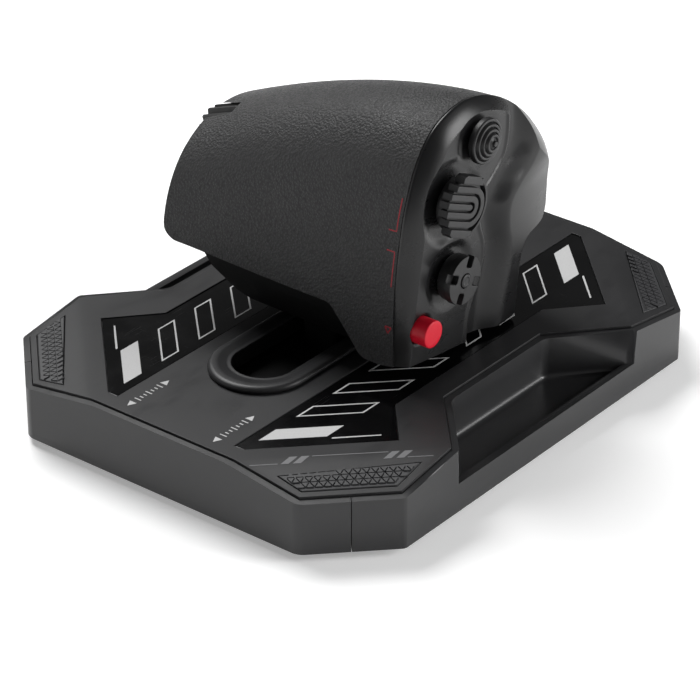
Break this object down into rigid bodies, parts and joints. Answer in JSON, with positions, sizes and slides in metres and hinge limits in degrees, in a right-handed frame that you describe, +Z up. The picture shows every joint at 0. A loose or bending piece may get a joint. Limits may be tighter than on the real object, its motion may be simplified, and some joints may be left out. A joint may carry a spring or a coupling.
{
  "type": "sliding throttle unit for a flight stick set",
  "caption": "Low desk base with side shelves and a central slot; a palm grip with thumb hats, push button, dial and finger paddle slides forward and back on guide rails.",
  "frame": {"origin": "centre of the base's footprint, on the surface it stands on", "axes": "+X to the user's right, +Y forward away from the user (more thrust), +Z up; the grip is stored at the middle of its travel"},
  "size_m": [0.1798, 0.2216, 0.1283],
  "materials": {
    "casing": "satin charcoal ABS, fine spark-eroded grain",
    "gloss_panel": "polished black with pale printed marks",
    "grip_pad": "moulded in small raised triangles",
    "grained_shell": "soft matt charcoal with a pebbled grain",
    "inner_plastic": "plain moulded black",
    "foot_rubber": "matt",
    "control_rubber": "matt soft touch",
    "red_button": "semi-gloss red",
    "rail_steel": "ground",
    "bush_brass": "turned",
    "circuit_board": "green solder mask",
    "gimbal_plastic": "natural acetal"
  },
  "bodies": {
    "base": {"base_tray": "casing", "top_cover": "casing", "front_bezel": "casing", "rear_bezel": "casing", "right_skirt": "casing", "left_skirt": "casing", "right_panel": "gloss_panel", "left_panel": "gloss_panel", "corner_pad_far_right": "grip_pad", "corner_pad_far_left": "grip_pad", "corner_pad_near_left": "grip_pad", "corner_pad_near_right": "grip_pad", "slot_collar": "casing", "base_screw_far_right": "rail_steel", "base_screw_far_left": "rail_steel", "base_screw_near_left": "rail_steel", "base_screw_near_right": "rail_steel", "foot_far_right": "foot_rubber", "foot_far_left": "foot_rubber", "foot_near_left": "foot_rubber", "foot_near_right": "foot_rubber", "guide_rail_right": "rail_steel", "guide_rail_left": "rail_steel", "rail_block_rear": "inner_plastic", "rail_block_front": "inner_plastic", "ballast_bar_right": "rail_steel", "ballast_bar_left": "rail_steel", "main_board": "circuit_board", "usb_socket": "rail_steel", "pedal_socket": "inner_plastic", "sensor_strip": "circuit_board", "brake_shoe": "bush_brass"},
    "throttle": {"carriage": "inner_plastic", "slide_bush_right": "bush_brass", "slide_bush_left": "bush_brass", "sensor_magnet": "rail_steel", "slot_shutter": "inner_plastic", "neck": "inner_plastic", "grip_housing": "inner_plastic", "palm_shell": "grained_shell", "finger_shell": "grained_shell", "thumb_plate": "casing", "grip_end_cap": "inner_plastic", "control_bracket": "inner_plastic", "grip_board": "circuit_board", "dial_encoder": "inner_plastic"},
    "tension_screw": {"tension_screw": "rail_steel"},
    "stick_ring": {"stick_gimbal": "gimbal_plastic"},
    "stick": {"stick_cap": "control_rubber"},
    "ribbed_ring": {"ribbed_hat_gimbal": "gimbal_plastic"},
    "ribbed_hat": {"ribbed_hat": "control_rubber"},
    "notched_ring": {"notched_hat_gimbal": "gimbal_plastic"},
    "notched_hat": {"notched_hat": "control_rubber"},
    "notched_centre": {"notched_hat_centre": "control_rubber"},
    "thumb_button": {"thumb_button": "red_button"},
    "dial": {"dial_knob": "control_rubber"},
    "rudder_paddle": {"rudder_paddle": "casing"},
    "index_button": {"index_button": "casing"},
    "ring_button": {"ring_button": "casing"}
  },
  "joints": [
    {"name": "throttle_slide", "type": "slide", "parent": "base", "child": "throttle", "axis": [0, 1, 0], "range_m": [-0.04, 0.04]},
    {"name": "tension_turn", "type": "hinge", "parent": "base", "child": "tension_screw", "pos_m": [0, 0, 0.0035], "axis": [0, 0, 1], "range_deg": [0, 270]},
    {"name": "stick_up_down", "type": "hinge", "parent": "throttle", "child": "stick_ring", "pos_m": [0.042, 0.0065, 0.1135], "axis": [0, 1, 0], "range_deg": [-7, 7], "stiffness_Nm_per_rad": 0.12},
    {"name": "stick_side", "type": "hinge", "parent": "stick_ring", "child": "stick", "pos_m": [0.042, 0.0065, 0.1135], "axis": [0, 0, 1], "range_deg": [-7, 7], "stiffness_Nm_per_rad": 0.12},
    {"name": "ribbed_hat_up_down", "type": "hinge", "parent": "throttle", "child": "ribbed_ring", "pos_m": [0.042, -0.0106, 0.0956], "axis": [0, 1, 0], "range_deg": [-5, 5], "stiffness_Nm_per_rad": 0.15},
    {"name": "ribbed_hat_side", "type": "hinge", "parent": "ribbed_ring", "child": "ribbed_hat", "pos_m": [0.042, -0.0106, 0.0956], "axis": [0, 0, 1], "range_deg": [-5, 5], "stiffness_Nm_per_rad": 0.15},
    {"name": "notched_hat_up_down", "type": "hinge", "parent": "throttle", "child": "notched_ring", "pos_m": [0.042, -0.0106, 0.0662], "axis": [0, 1, 0], "range_deg": [-6, 6], "stiffness_Nm_per_rad": 0.15},
    {"name": "notched_hat_side", "type": "hinge", "parent": "notched_ring", "child": "notched_hat", "pos_m": [0.042, -0.0106, 0.0662], "axis": [0, 0, 1], "range_deg": [-6, 6], "stiffness_Nm_per_rad": 0.15},
    {"name": "notched_hat_press", "type": "slide", "parent": "notched_hat", "child": "notched_centre", "axis": [-1, 0, 0], "range_m": [0, 0.001], "stiffness_N_per_m": 900},
    {"name": "thumb_button_press", "type": "slide", "parent": "throttle", "child": "thumb_button", "axis": [-1, 0, 0], "range_m": [0, 0.0018], "stiffness_N_per_m": 800},
    {"name": "dial_turn", "type": "hinge", "parent": "throttle", "child": "dial", "pos_m": [-0.0505, -0.007, 0.089], "axis": [0.9376, 0, 0.3476], "range_deg": [-140, 140]},
    {"name": "rudder_rock", "type": "hinge", "parent": "throttle", "child": "rudder_paddle", "pos_m": [-0.006, 0.04, 0.072], "axis": [0, 0, 1], "range_deg": [-6, 6], "stiffness_Nm_per_rad": 0.6},
    {"name": "index_press", "type": "slide", "parent": "throttle", "child": "index_button", "axis": [0, -1, 0], "range_m": [0, 0.0015], "stiffness_N_per_m": 800},
    {"name": "ring_press", "type": "slide", "parent": "throttle", "child": "ring_button", "axis": [0, -1, 0], "range_m": [0, 0.0015], "stiffness_N_per_m": 800}
  ]
}
